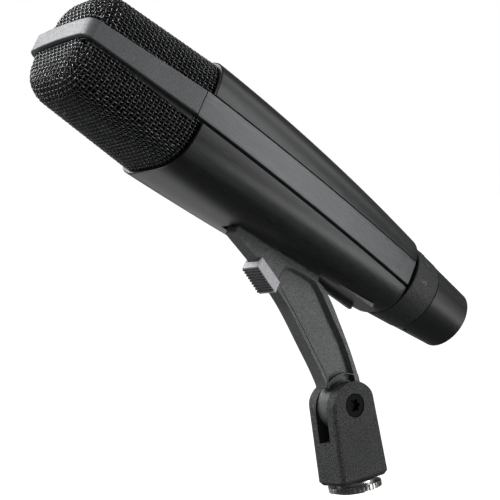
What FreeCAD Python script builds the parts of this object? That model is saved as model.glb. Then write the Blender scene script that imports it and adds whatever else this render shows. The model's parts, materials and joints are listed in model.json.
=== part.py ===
"""Dynamic broadcast microphone with a bass roll-off ring, on a tilting quick-release stand clip.

Row frame: origin at the mouth of the stand thread, +Z up the stand axis, the microphone's head
towards -X, and the clip's tilt axis along Y. All sizes are in millimetres.

The microphone is drawn in its own frame, with X from its front to its tail, Y across and Z
towards its top, and is then placed in the row frame. The stand clip is drawn from its tilt pivot.
"""
import FreeCAD, Part
import math
import os
from FreeCAD import Placement, Rotation, Vector

# Where things stand at rest
PIVOT_HEIGHT = 35.0  # tilt pivot above the stand thread's mouth
MIC_TILT = 38.8  # the microphone points up by this many degrees
MIC_FRONT_X = -103.2  # centre of the microphone's front, from the pivot
MIC_FRONT_Z = 158.5

# Microphone stations along its length
MIC_LENGTH = 215.0
BRIDGE_REAR = 52.3
SHELL_FRONT = 55.9
SHELL_REAR = 178.0
RAIL_REAR = 177.3
RING_FRONT = 178.6
RING_REAR = 193.0

# The case: half width, top and bottom height and squareness, as they fall off along the case
WIDTH_TERMS = (24.7, -1.4, -7.2)
TOP_TERMS = (23.7, 0.3, -6.6)
BOTTOM_TERMS = (24.2, -3.5, -3.4)
SQUARE_TERMS = (3.46, -0.84, 0.0)
WALL = 2.2
RAIL_HALF_HEIGHT = 5.4
UPPER_GROOVE = 0.35
LOWER_GROOVE = 1.2
REAR_BEVEL = 1.4

# The grille
BRIDGE_HALF_FRONT = 21.0
BRIDGE_HALF_REAR = 25.2
BRIDGE_BOW = 1.0
BRIDGE_CORNER = 4.5
BRIDGE_HEIGHT_FRONT = 3.65
BRIDGE_HEIGHT_REAR = 5.1
BRIDGE_THICKNESS = 2.0
FRAME_BELOW_FRONT = 4.0
FRAME_BELOW_REAR = 8.4
FRAME_ABOVE = 4.8
MESH_INSET = 2.1
MESH_THICKNESS = 0.9
LOWER_PLAN_RADIUS = 5.0
UPPER_PLAN_RADIUS = 10.0
MESH_SIDE_RADIUS = 10.5
FOAM_INSET = 2.2
FOAM_THICKNESS = 2.0

# Underside track that the stand clip's tongue slides in
TRACK_FRONT = 98.0
TRACK_REAR = 171.0
TRACK_HALF_WIDTH = 5.6
TRACK_ROOF = -17.4
LIP_HALF_GAP = 3.9
LIP_FRONT = 98.5
LIP_REAR = 119.0
LIP_TOP = -20.0
TRACK_PAD_BOTTOM = -18.9
TRACK_PAD_HALF_WIDTH = 7.4

# Tail, roll-off ring and connector
SLEEVE_RADIUS = 11.5
RING_FRONT_RADIUS = 17.0
RING_REAR_RADIUS = 15.55
BARREL_FRONT_RADIUS = 15.3
BARREL_REAR_RADIUS = 13.0
SOCKET_RADIUS = 8.1
SOCKET_FLOOR = 199.0
RING_CLEARANCE = 0.05
ROLLOFF_POSITIONS = 5
ROLLOFF_STEP = 30.0

# Internal leads, beside the bass tube
LEAD_RADIUS = 0.6
LEAD_OFFSET = 8.6

# Clip
ARM_HALF = 3.35
KNUCKLE_HALF = 3.3
KNUCKLE_RADIUS = 9.9
FOOT_RADIUS = 10.4  # the arm's foot clears this circle about the pivot
POCKET_DEPTH = 2.15
POCKET_ARC_RADIUS = 13.0
TONGUE_FRONT = 103.0
TONGUE_REAR = 143.5
TONGUE_BOTTOM = -19.7
TONGUE_TOP = -17.7
TONGUE_HALF_WIDTH = 5.1
SHANK_RADIUS = 3.0
BUTTON_HALF = 5.1
BOLT_TIP = -17.1  # from the button's top, along the latch
LATCH_ANGLE = 61.25  # slope of the arm's front edge, along which the latch slides
LATCH_X = -32.8  # where the button's top meets the arm's front edge, from the pivot
LATCH_Z = 64.8

# Stand base
SLOT_HALF = 3.4
BASE_HALF_THICKNESS = 8.2
BASE_HALF_WIDTH = 12.5
BASE_CORNER = 2.0
BASE_CHAMFER = 1.6
EAR_HALF_WIDTH = 10.9
EAR_RADIUS = 11.3
EAR_CENTRE = -1.6  # height of the ear's top arc's centre, from the pivot
SLOT_FLOOR = -13.1
THREAD_RADIUS = 4.0  # the minor radius of a 3/8 inch, 16 turns an inch, stand thread
FLANGE_RADIUS = 10.9
FLANGE_THICKNESS = 3.2
SEAT_RING_RADIUS = 7.9
SEAT_RING_HEIGHT = 1.0
WASHER_RADIUS = 8.4
WASHER_THICKNESS = 1.15
INSERT_RADIUS = 6.3
INSERT_DEPTH = 15.0
BASE_BOTTOM = FLANGE_THICKNESS + WASHER_THICKNESS + 0.05 - PIVOT_HEIGHT
HEAD_RADIUS = 4.5

ALONG = Vector(1, 0, 0)
ACROSS = Vector(0, 1, 0)
UP = Vector(0, 0, 1)
ORIGIN = Vector(0, 0, 0)

MIC = Placement(Vector(MIC_FRONT_X, 0, PIVOT_HEIGHT + MIC_FRONT_Z), Rotation(ACROSS, MIC_TILT))
PIVOT = Placement(Vector(0, 0, PIVOT_HEIGHT), Rotation())
LATCH = Placement(Vector(LATCH_X, 0, PIVOT_HEIGHT + LATCH_Z), Rotation(ACROSS, LATCH_ANGLE))
ROW = Placement()


# ---------------------------------------------------------------- general helpers

def place(shape, placement):
    """Return a copy of a shape drawn in a local frame, placed in the row frame."""
    placed = shape.copy()
    placed.Placement = placement.multiply(placed.Placement)
    return placed


def save(name, shape, placement=ROW):
    place(shape, placement).exportStep("parts/" + name + ".step")


def group(shapes):
    return Part.Compound(shapes)


def box(low, high):
    size = Vector(*high) - Vector(*low)
    return Part.makeBox(size.x, size.y, size.z, Vector(*low))


def rod(radius, start, end, y=0.0, z=0.0):
    """A cylinder along X."""
    return Part.makeCylinder(radius, end - start, Vector(start, y, z), ALONG)


def tube(outer, inner, start, end, y=0.0, z=0.0):
    return rod(outer, start, end, y, z).cut(rod(inner, start - 1, end + 1, y, z))


def pin_y(radius, low, high, x=0.0, z=0.0):
    """A cylinder along Y."""
    return Part.makeCylinder(radius, high - low, Vector(x, low, z), ACROSS)


def prism(outline, half_width):
    """A closed XZ outline, as points, extruded to both sides of the XZ plane."""
    points = [Vector(x, -half_width, z) for x, z in outline]
    face = Part.Face(Part.makePolygon(points + points[:1]))
    return face.extrude(Vector(0, 2 * half_width, 0))


def turned(profile):
    """A solid turned about the X axis from a closed profile of (x, radius) points."""
    points = [Vector(x, 0, radius) for x, radius in profile]
    face = Part.Face(Part.makePolygon(points + points[:1]))
    return face.revolve(ORIGIN, ALONG, 360)


def fuse(shapes):
    return shapes[0].multiFuse(shapes[1:]).removeSplitter()


def spring_solid(coil_radius, wire_radius, length, turns):
    """A compression spring along Z from the origin."""
    pitch = length / turns
    helix = Part.makeHelix(pitch, length, coil_radius)
    circle = Part.makeCircle(wire_radius, Vector(coil_radius, 0, 0), ACROSS)
    return Part.Wire(helix).makePipeShell([Part.Wire(circle)], True, True)


def mic_point(station, height):
    """A point of the microphone's middle plane, as (x, z) from the tilt pivot."""
    tilt = math.radians(MIC_TILT)
    x = MIC_FRONT_X + station * math.cos(tilt) + height * math.sin(tilt)
    z = MIC_FRONT_Z - station * math.sin(tilt) + height * math.cos(tilt)
    return x, z


# ---------------------------------------------------------------- case sections

def along_case(terms, station):
    t = (station - SHELL_FRONT) / (SHELL_REAR - SHELL_FRONT)
    return terms[0] + terms[1] * t + terms[2] * t * t


def rounded_section(station, width, top, bottom, squareness, count=40):
    """A smooth closed curve, squarer than an ellipse, across the X axis."""
    points = []
    for step in range(count):
        angle = math.pi / 2 + 2 * math.pi * step / count
        cosine, sine = math.cos(angle), math.sin(angle)
        across = math.copysign(abs(cosine) ** (2 / squareness), cosine)
        high = math.copysign(abs(sine) ** (2 / squareness), sine)
        points.append(Vector(station, width * across, (top if sine > 0 else bottom) * high))
    curve = Part.BSplineCurve()
    curve.interpolate(points, PeriodicFlag=True)
    return Part.Wire(curve.toShape())


def case_section(station, inset):
    return rounded_section(
        station,
        along_case(WIDTH_TERMS, station) - inset,
        along_case(TOP_TERMS, station) - inset,
        along_case(BOTTOM_TERMS, station) - inset,
        along_case(SQUARE_TERMS, station),
    )


def case_body(inset, front=SHELL_FRONT, rear=SHELL_REAR - REAR_BEVEL):
    """The case's solid outer form, or an inner one."""
    middle = [station for station in (80.0, 105.0, 130.0, 155.0) if front + 5 < station < rear - 5]
    return Part.makeLoft([case_section(s, inset) for s in [front] + middle + [rear]], True, False)


def case_rear_bevel():
    start = SHELL_REAR - REAR_BEVEL
    sections = [case_section(start, 0.0), case_section(SHELL_REAR, 0.9)]
    return Part.makeLoft(sections, True, True)


def case_blank():
    """The hollow case before it is divided, with its rear wall."""
    outer = case_body(0.0).fuse(case_rear_bevel())
    cavity = case_body(WALL, SHELL_FRONT - 1, SHELL_REAR - WALL - 1.2)
    return outer.cut(cavity).cut(rod(SLEEVE_RADIUS + 0.1, SHELL_REAR - 6, SHELL_REAR + 1))


def upper_housing_shell(blank):
    keep = box((0, -40, RAIL_HALF_HEIGHT + UPPER_GROOVE), (MIC_LENGTH, 40, 40))
    return blank.common(keep)


def lower_housing_shell(blank):
    keep = box((0, -40, -40), (MIC_LENGTH, 40, -RAIL_HALF_HEIGHT - LOWER_GROOVE))
    shell = blank.common(keep)
    floor_top = TRACK_ROOF + 2.0
    half = TRACK_PAD_HALF_WIDTH
    pad_outline = [
        (TRACK_FRONT - 3, floor_top), (TRACK_FRONT - 3, TRACK_PAD_BOTTOM),
        (TRACK_REAR, TRACK_PAD_BOTTOM), (TRACK_REAR + 3.5, TRACK_ROOF + 1.2),
        (TRACK_REAR + 3.5, floor_top),
    ]
    shell = shell.fuse(prism(pad_outline, half))
    track = box((TRACK_FRONT, -TRACK_HALF_WIDTH, -40), (SHELL_REAR + 1, TRACK_HALF_WIDTH, TRACK_ROOF))
    return shell.cut(track).removeSplitter()


def clip_rail():
    """Two steel strips whose inward lips hold the clip's tongue up in the track."""
    strips = []
    for side in (-1, 1):
        low, high = sorted((side * LIP_HALF_GAP, side * TRACK_HALF_WIDTH))
        strips.append(box((LIP_FRONT, low, LIP_TOP - 1.5), (LIP_REAR, high, LIP_TOP)))
    return group(strips)


# ---------------------------------------------------------------- chassis

def side_rail_pair():
    """The strips that show between the two shells, with flanges behind the shells' edges."""
    front = BRIDGE_REAR + 0.05
    face = case_body(-0.15, front, RAIL_REAR).cut(case_body(WALL + 1.0, front - 1, RAIL_REAR + 1))
    face = face.cut(case_body(1.1, front - 1, SHELL_FRONT - 0.1))
    face = face.common(box((0, -40, -RAIL_HALF_HEIGHT), (MIC_LENGTH, 40, RAIL_HALF_HEIGHT)))
    flange_front = SHELL_FRONT + 0.5
    flange_rear = 172.0
    flange = case_body(WALL + 0.1, flange_front, flange_rear)
    flange = flange.cut(case_body(WALL + 1.8, flange_front - 1, flange_rear + 1))
    flange = flange.common(box((0, -40, -9.0), (MIC_LENGTH, 40, 8.0)))
    return face.fuse(flange)


def chassis_frame():
    """Both side rails, joined by a front wall, a middle wall and a rear wall."""
    frame = side_rail_pair()
    walls = ((56.4, 59.4, 12.0), (108.0, 110.0, 6.05), (166.0, 169.0, SLEEVE_RADIUS + 0.05))
    for front, rear, hole in walls:
        wall = case_body(WALL + 0.6, front, rear).cut(rod(hole, front - 1, rear + 1))
        wall = wall.common(box((0, -40, -13.5), (MIC_LENGTH, 40, 13.5)))
        for side in (-1, 1):
            wall = wall.cut(rod(LEAD_RADIUS + 0.1, front - 1, rear + 1, side * LEAD_OFFSET))
        frame = frame.fuse(wall)
    return frame


# ---------------------------------------------------------------- grille

def bridge_half_width(station):
    slope = (BRIDGE_HALF_REAR - BRIDGE_HALF_FRONT) / (BRIDGE_REAR - BRIDGE_BOW)
    return BRIDGE_HALF_FRONT + slope * (station - BRIDGE_BOW)


def bridge_plan(inset, rear, low, high):
    """The bridge's plan form: a bowed front, round corners and sides that open to the rear."""
    front = inset + BRIDGE_BOW
    half_front = bridge_half_width(front) - inset
    half_rear = bridge_half_width(rear) - inset
    left, right = Vector(front, -half_front, low), Vector(front, half_front, low)
    rear_left, rear_right = Vector(rear, -half_rear, low), Vector(rear, half_rear, low)
    edges = [
        Part.Arc(left, Vector(inset, 0, low), right).toShape(),
        Part.makeLine(right, rear_right),
        Part.makeLine(rear_right, rear_left),
        Part.makeLine(rear_left, left),
    ]
    solid = Part.Face(Part.Wire(edges)).extrude(Vector(0, 0, high - low))
    corners = [edge for edge in solid.Edges if is_front_corner(edge, front)]
    return solid.makeFillet(BRIDGE_CORNER - inset, corners)


def is_front_corner(edge, front):
    ends = [vertex.Point for vertex in edge.Vertexes]
    upright = len(ends) == 2 and abs(ends[0].z - ends[1].z) > 1
    return upright and all(abs(point.x - front) < 0.01 for point in ends)


def grille_bridge():
    """The strap round the head, taller towards the rear."""
    strap = bridge_plan(0.0, BRIDGE_REAR, -8, 8)
    strap = strap.cut(bridge_plan(BRIDGE_THICKNESS, BRIDGE_REAR + 2, -9, 9))
    taper = prism(
        [(-1, -BRIDGE_HEIGHT_FRONT), (BRIDGE_REAR, -BRIDGE_HEIGHT_REAR),
         (BRIDGE_REAR, BRIDGE_HEIGHT_REAR), (-1, BRIDGE_HEIGHT_FRONT)], 40)
    return strap.common(taper)


def frame_zone(extra):
    """The side form of the dark band, which reaches lower towards the rear."""
    return prism([(-2, -FRAME_BELOW_FRONT - extra), (60.0, -FRAME_BELOW_REAR - extra),
                  (60.0, FRAME_ABOVE + extra), (-2, FRAME_ABOVE + extra)], 40)


def basket_frame():
    """The dark band behind the bridge that both mesh baskets are crimped to."""
    inset = BRIDGE_THICKNESS + 0.05
    band = bridge_plan(inset, 52.0, -12, 8).cut(bridge_plan(inset + 1.6, 54.0, -13, 9))
    return band.common(frame_zone(0.0))


def head_section(station, inset, plan_radius):
    """A section of the mesh head, which rounds off more tightly at the sides than top to bottom."""
    depth = max(station - MESH_INSET - inset, 0.0)
    width = bridge_half_width(station) - MESH_INSET - inset - round_off(depth, plan_radius - inset)
    along = station / SHELL_FRONT
    drop = round_off(depth, MESH_SIDE_RADIUS - inset) + inset
    return rounded_section(station, width, 21.3 + 1.3 * along - drop, 21.6 + 1.6 * along - drop, 3.5)


def round_off(depth, radius):
    """How far a quarter-round edge stands back at a depth from its front."""
    if depth >= radius:
        return 0.0
    return radius - math.sqrt(radius ** 2 - (radius - depth) ** 2)


def head_body(inset, rear, plan_radius):
    front = MESH_INSET + inset
    reach = MESH_SIDE_RADIUS - inset
    near = [front + reach * (1 - math.cos(math.radians(15 * step))) for step in range(7)]
    sections = [head_section(station, inset, plan_radius) for station in near + [30.0, rear]]
    return Part.makeLoft(sections, True, True)


def mesh_skin(plan_radius):
    """Woven wire, drawn here as a thin closed skin."""
    return head_body(0.0, 55.4, plan_radius).cut(head_body(MESH_THICKNESS, 58.0, plan_radius))


def upper_mesh_basket():
    return mesh_skin(UPPER_PLAN_RADIUS).common(box((0, -40, FRAME_ABOVE + 0.05), (MIC_LENGTH, 40, 40)))


def lower_mesh_basket():
    below = box((0, -40, -40), (MIC_LENGTH, 40, 0)).cut(frame_zone(0.05))
    return mesh_skin(LOWER_PLAN_RADIUS).common(below)


def foam_liner():
    liner = head_body(FOAM_INSET, 55.2, UPPER_PLAN_RADIUS)
    liner = liner.cut(head_body(FOAM_INSET + FOAM_THICKNESS, 58.0, UPPER_PLAN_RADIUS))
    return liner.cut(basket_frame_keepout())


def basket_frame_keepout():
    """Room for the band and its crimp inside the foam."""
    ring = bridge_plan(0.0, 60.0, -12, 8).cut(bridge_plan(BRIDGE_THICKNESS + 1.9, 62.0, -13, 9))
    return ring.common(frame_zone(0.3))


# ---------------------------------------------------------------- capsule

def capsule_cap():
    """The perforated resonator plate in front of the diaphragm."""
    plate = rod(15.0, 10.5, 11.9)
    holes = [rod(1.1, 10, 13)]
    for ring, count in ((4.2, 6), (8.0, 12), (11.6, 16)):
        for step in range(count):
            angle = 2 * math.pi * step / count
            holes.append(rod(1.0, 10, 13, ring * math.cos(angle), ring * math.sin(angle)))
    return plate.cut(group(holes))


def capsule_housing():
    return turned([
        (12.0, 15.0), (38.0, 15.0), (38.0, 9.0), (62.0, 9.0), (62.0, 8.0),
        (36.5, 8.0), (36.5, 13.8), (12.0, 13.8),
    ])


def diaphragm():
    """A thin film with a raised roll and a shallow dome."""
    return turned([
        (13.4, 13.6), (13.4, 12.8), (12.6, 11.2), (13.4, 8.9), (13.6, 8.2), (12.7, 5.5), (12.2, 0.0),
        (12.4, 0.0), (12.9, 5.6), (13.85, 8.4), (13.6, 9.1), (12.8, 11.2), (13.6, 12.9), (13.6, 13.6),
    ])


def voice_coil():
    return tube(8.05, 7.55, 14.0, 18.8)


def magnet_cup():
    return turned([(20.2, 13.6), (33.0, 13.6), (33.0, 4.2), (29.0, 4.2), (29.0, 11.0), (20.2, 11.0)])


def top_plate():
    return tube(13.6, 8.35, 15.6, 20.1)


def pole_piece():
    return tube(7.2, 2.0, 15.2, 19.9)


def magnet():
    return tube(7.0, 2.0, 20.0, 28.9)


def acoustic_felt():
    return tube(13.4, 4.4, 33.2, 36.3)


def humbucking_coil():
    return tube(12.4, 9.1, 41.0, 47.0)


def front_suspension():
    return tube(16.0, 15.05, 24.0, 29.0)


def rear_suspension():
    return tube(11.95, 9.05, 56.2, 60.2)


def bass_tube():
    return turned([
        (58.0, 7.9), (61.5, 7.9), (61.5, 6.0), (118.0, 6.0), (118.0, 4.8), (58.0, 4.8),
    ])


# ---------------------------------------------------------------- inside the case

def filter_board():
    board = box((120.0, -9.0, -0.8), (160.0, 9.0, 0.8))
    holes = [Part.makeCylinder(1.1, 4, Vector(x, y, -2), UP) for x in (123, 157) for y in (-7, 7)]
    return board.cut(group(holes))


def filter_choke():
    ring = Part.makeTorus(4.6, 1.9, Vector(131, 0, 2.8), UP)
    return ring


def filter_capacitors():
    return group([rod(2.0, 140, 148, y, 2.9) for y in (-4.5, 0.0, 4.5)])


def filter_resistors():
    return group([rod(0.9, 151, 155, y, 1.8) for y in (-5, -2.5, 0, 2.5, 5)])


def board_bracket():
    """A folded plate that carries the filter board from the chassis' rear wall."""
    plate = box((118.0, -7.0, -2.4), (165.9, 7.0, -1.4))
    posts = [Part.makeCylinder(2.0, 0.6, Vector(x, 0, -1.4), UP) for x in (123.0, 157.0)]
    return fuse([plate] + posts)


def switch_wafer():
    disc = rod(9.3, 172.0, 173.4).cut(rod(2.5, 171, 175))
    contacts = [rod(0.6, 173.3, 174.2, 7 * math.cos(a), 7 * math.sin(a)) for a in rolloff_angles()]
    return fuse([disc] + contacts)


def rolloff_angles():
    return [math.radians(ROLLOFF_STEP * step) for step in range(ROLLOFF_POSITIONS)]


def switch_rotor():
    """Turns with the ring and wipes the wafer's contacts."""
    disc = rod(9.2, 184.0, 186.0).cut(rod(1.6, 183, 187))
    stem = tube(3.4, 1.6, 174.6, 184.0)
    return fuse([disc, stem])


def drive_pin():
    return Part.makeCylinder(0.8, 4.6, Vector(185.0, 0, 8.0), UP).cut(rod(9.2, 180, 190))


def tail_nut():
    nut = tube(13.2, SLEEVE_RADIUS + 0.02, 162.4, 165.9)
    notches = [box((161, 12.2, -1.2), (167, 15, 1.2)), box((161, -15, -1.2), (167, -12.2, 1.2))]
    return nut.cut(group(notches))


# ---------------------------------------------------------------- tail

def connector_barrel():
    """The tail barrel and, in one piece with it, the sleeve that the ring turns on."""
    barrel = turned([
        (162.0, SLEEVE_RADIUS), (RING_REAR + 0.1, SLEEVE_RADIUS), (RING_REAR + 0.1, BARREL_FRONT_RADIUS - 0.3),
        (RING_REAR + 0.4, BARREL_FRONT_RADIUS), (MIC_LENGTH - 0.4, BARREL_REAR_RADIUS),
        (MIC_LENGTH, BARREL_REAR_RADIUS - 0.4), (MIC_LENGTH, SOCKET_RADIUS + 0.6),
        (MIC_LENGTH - 0.6, SOCKET_RADIUS), (194.5, SOCKET_RADIUS), (194.5, 9.5), (162.0, 9.5),
    ])
    screw_hole = Part.makeCylinder(1.02, 11, Vector(196.8, 0, -17), UP)
    return barrel.cut(drive_slot()).cut(detent_hole()).cut(screw_hole)


def drive_slot():
    """An arc through the sleeve, for the pin that joins the ring to the rotor."""
    sweep = ROLLOFF_STEP * (ROLLOFF_POSITIONS - 1) + 20
    sector = Part.makeCylinder(14, 2.4, Vector(183.8, 0, 0), ALONG, sweep)
    turn_to_pin = Rotation(ALONG, 80 - sector_start())
    sector.Placement = Placement(ORIGIN, turn_to_pin).multiply(sector.Placement)
    return sector


def sector_start():
    """The angle from +Y at which a cylinder along X begins its sector."""
    probe = Part.makeCylinder(10, 1, ORIGIN, ALONG, 1)
    middle = probe.CenterOfMass
    return math.degrees(math.atan2(middle.z, middle.y)) - 0.5


def detent_hole():
    return Part.makeCylinder(1.25, 6, Vector(189.6, 0, -13), UP)


def detent_ball():
    return Part.makeSphere(1.1, Vector(189.6, 0, -SLEEVE_RADIUS + 0.75))


def detent_spring():
    coil = spring_solid(0.7, 0.18, 2.0, 4)
    coil.Placement = Placement(Vector(189.6, 0, -9.6), Rotation())
    return coil


def ring_radius(station):
    slope = (RING_REAR_RADIUS - RING_FRONT_RADIUS) / (RING_REAR - RING_FRONT)
    return RING_FRONT_RADIUS + slope * (station - RING_FRONT)


def rolloff_ring():
    """The tapered bass roll-off ring: a groove for the detent ball, five notches and the pin's hole."""
    bore = SLEEVE_RADIUS + RING_CLEARANCE
    ring = turned([
        (RING_FRONT, bore), (RING_FRONT, RING_FRONT_RADIUS - 0.6),
        (RING_FRONT + 0.6, ring_radius(RING_FRONT + 0.6)), (RING_REAR - 0.4, ring_radius(RING_REAR - 0.4)),
        (RING_REAR, RING_REAR_RADIUS - 0.4), (RING_REAR, bore),
        (190.6, bore), (190.6, bore + 0.6), (188.6, bore + 0.6), (188.6, bore),
    ])
    notches = []
    for angle in rolloff_angles():
        reach = bore + 0.7
        centre = Vector(189.6, reach * math.sin(angle), -reach * math.cos(angle))
        notches.append(Part.makeSphere(0.8, centre))
    pin_hole = Part.makeCylinder(0.82, 6, Vector(185.0, 0, 8.0), UP)
    return ring.cut(group(notches)).cut(pin_hole)


def ring_pointer():
    """A raised index mark on the case side of the ring."""
    middle = 183.0
    mark = Part.makeCylinder(0.9, 1.3, Vector(middle, 0, ring_radius(middle) - 0.9), UP)
    inside = Part.makeCone(ring_radius(180.0) + 0.02, ring_radius(190.0) + 0.02, 10, Vector(180, 0, 0), ALONG)
    return mark.cut(inside)


def connector_insert():
    plate = rod(SOCKET_RADIUS - 0.05, 194.6, SOCKET_FLOOR)
    sockets = [rod(1.25, 194, 200, y, z) for y, z in pin_places()]
    return plate.cut(group(sockets))


def pin_places():
    """The three contacts: two above the middle and one below."""
    return ((-3.3, 2.0), (3.3, 2.0), (0.0, -3.9))


def connector_pins():
    pins = []
    for y, z in pin_places():
        pins.append(fuse([rod(1.2, 191.0, 208.4, y, z), rod(0.8, 208.3, 209.4, y, z)]))
    return group(pins)


def insert_screw():
    """The set screw that fixes the insert in the barrel."""
    return Part.makeCylinder(1.0, 6.3, Vector(196.8, 0, -14.4), UP)


def internal_leads():
    """A stiff lead each side, from the rear suspension to the filter board's front edge."""
    return group([rod(LEAD_RADIUS, 62.2, 119.9, side * LEAD_OFFSET, 0) for side in (-1, 1)])


# ---------------------------------------------------------------- stand clip

def arm_outline_face():
    """The arm's side form: a curved front edge, a nose under the microphone and a slim foot."""
    foot_front, foot_rear = (-8.9, 9.0), (9.0, 2.3)
    front_edge = [(-9.0, 10.3), (-12.0, 19.5), (-15.2, 27.7), (-19.0, 37.8), (-25.5, 51.5)]
    nose = [(LATCH_X, LATCH_Z), (-41.1, 76.5), mic_point(99.8, -22.0), mic_point(100.4, TONGUE_BOTTOM)]
    heel = [mic_point(TONGUE_REAR, TONGUE_BOTTOM), (-4.4, 51.5)]
    rear_edge = [(-4.4, 51.5), (-1.2, 46.7), (2.9, 34.4), (5.2, 25.8), (7.1, 17.3), (8.6, 8.6)]
    edges = [line(foot_front, front_edge[0]), smooth_edge(front_edge)]
    edges += chain(front_edge[-1:] + nose + heel)
    edges += [smooth_edge(rear_edge), line(rear_edge[-1], foot_rear), line(foot_rear, foot_front)]
    return Part.Face(Part.Wire(edges))


def flat(point, y=0.0):
    return Vector(point[0], y, point[1])


def line(start, end, y=0.0):
    return Part.makeLine(flat(start, y), flat(end, y))


def chain(points, y=0.0):
    return [line(a, b, y) for a, b in zip(points, points[1:])]


def smooth_edge(points, y=0.0):
    curve = Part.BSplineCurve()
    curve.interpolate([flat(point, y) for point in points])
    return curve.toShape()


def pocket_tool(side):
    """The recess in one side of the arm, with sloping walls and an arc about the pivot below."""
    rim = [(-8.6, 9.0), (-7.4, 12.3), (-10.6, 20.6), (-13.9, 28.8), (-16.9, 37.2), (-24.4, 53.4),
           (-23.6, 56.0), (-20.2, 59.5), (-15.8, 58.9), (-5.6, 51.4), (-3.0, 46.2), (0.6, 34.8),
           (3.6, 26.1), (5.4, 18.4), (6.6, 10.5)]
    floor = [(-8.0, 9.4), (-6.9, 12.4), (-10.1, 20.7), (-13.3, 28.9), (-16.2, 37.5), (-23.4, 53.3),
             (-22.8, 55.2), (-19.9, 58.2), (-16.2, 57.8), (-6.9, 51.0), (-4.5, 45.9), (-0.9, 34.6),
             (2.1, 25.9), (3.9, 18.2), (5.1, 10.6)]
    outer = side * (ARM_HALF + 0.5)
    inner = side * (ARM_HALF - POCKET_DEPTH)
    wires = [Part.makePolygon([flat(point, y) for point in points + points[:1]])
             for points, y in ((rim, outer), (floor, inner))]
    tool = Part.makeLoft(wires, True, True)
    return tool.cut(pin_y(POCKET_ARC_RADIUS, -9, 9))


def knuckle_relief(side):
    """A deeper ring-shaped step round the knuckle, between the arm's two rims."""
    low, high = sorted((side * (ARM_HALF - POCKET_DEPTH - 0.3), side * (ARM_HALF + 1)))
    ring = pin_y(POCKET_ARC_RADIUS - 0.3, low, high).cut(pin_y(KNUCKLE_RADIUS + 0.1, -9, 9))
    wedge = prism([(-7.0, 6.0), (-8.0, 14.0), (5.6, 14.0), (6.6, 6.0)], 9)
    return ring.common(wedge)


def clip_arm():
    """The clip's arm: knuckle, tapering arm with a recess in each side, nose and tongue."""
    face = arm_outline_face()
    face.translate(Vector(0, -ARM_HALF, 0))
    arm = face.extrude(Vector(0, 2 * ARM_HALF, 0))
    arm = arm.cut(pin_y(FOOT_RADIUS, -9, 9))
    arm = arm.fuse(pin_y(KNUCKLE_RADIUS, -KNUCKLE_HALF, KNUCKLE_HALF))
    neck = prism([(-5.5, 5.0), (-7.6, 11.0), (8.5, 11.0), (9.2, 3.0)], KNUCKLE_HALF)
    arm = arm.fuse(neck)
    arm = place(arm, PIVOT)
    for side in (-1, 1):
        arm = arm.cut(place(pocket_tool(side), PIVOT)).cut(place(knuckle_relief(side), PIVOT))
    tongue = box((TONGUE_FRONT, -TONGUE_HALF_WIDTH, TONGUE_BOTTOM - 0.1),
                 (TONGUE_REAR, TONGUE_HALF_WIDTH, TONGUE_TOP))
    arm = arm.fuse(place(tongue, MIC))
    arm = arm.cut(place(pin_y(SHANK_RADIUS + 0.05, -9, 9), PIVOT))
    return arm.cut(place(latch_cavity(), LATCH))


def latch_cavity():
    """Bore for the bolt and spring, and the slot that the button's stem slides in."""
    bore = rod(1.8, -30.0, 13.3, 0, 3.0)
    slot = box((1.0, -1.7, -6.0), (9.4, 1.7, 3.0))
    return bore.fuse(slot)


def latch_button():
    """A ribbed thumb button that straddles the arm's front edge."""
    block = prism([(0.2, 1.3), (13.0, 1.7), (14.6, -2.7), (1.6, -2.9)], BUTTON_HALF)
    saddle = box((-2, -ARM_HALF - 0.3, -0.35), (18, ARM_HALF + 0.3, 4))
    ribs = []
    for step in range(9):
        start = 2.1 + 1.34 * step
        ribs.append(box((start, -BUTTON_HALF + 0.25, -3.4), (start + 0.7, BUTTON_HALF - 0.25, -2.5)))
    stem = box((1.6, -1.4, -0.5), (4.6, 1.4, 2.4))
    return fuse([block.cut(saddle), stem] + ribs)


def latch_bolt():
    """The rod that the button moves, with a serrated pad that grips the track."""
    shaft = rod(1.5, BOLT_TIP + 2.6, 4.6, 0, 3.0)
    notch = box((1.5, -1.5, 1.0), (4.7, 1.5, 2.42))
    teeth = [rod(1.1, BOLT_TIP + step, BOLT_TIP + step + 0.5, 0, 3.0) for step in range(3)]
    core = rod(0.8, BOLT_TIP, BOLT_TIP + 3.1, 0, 3.0)
    return fuse([shaft, core] + teeth).cut(notch)


def latch_spring():
    coil = spring_solid(1.25, 0.25, 8.0, 8)
    coil.Placement = Placement(Vector(4.95, 0, 3.0), Rotation(ACROSS, 90))
    return coil


def base_block():
    """The base before it is slotted: sides that widen downwards, soft corners and a chamfered foot."""
    block = prism([(-EAR_HALF_WIDTH, 12), (EAR_HALF_WIDTH, 12), (BASE_HALF_WIDTH, BASE_BOTTOM),
                   (-BASE_HALF_WIDTH, BASE_BOTTOM)], BASE_HALF_THICKNESS)
    upright = [edge for edge in block.Edges if abs(edge.BoundBox.ZLength) > 20]
    block = block.makeFillet(BASE_CORNER, upright)
    foot = [edge for edge in block.Edges if edge.BoundBox.ZMax < BASE_BOTTOM + 0.1]
    block = block.makeChamfer(BASE_CHAMFER, foot)
    below_ears = box((-20, -20, BASE_BOTTOM - 1), (20, 20, EAR_CENTRE))
    return block.common(below_ears.fuse(pin_y(EAR_RADIUS, -20, 20, 0, EAR_CENTRE)))


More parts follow.
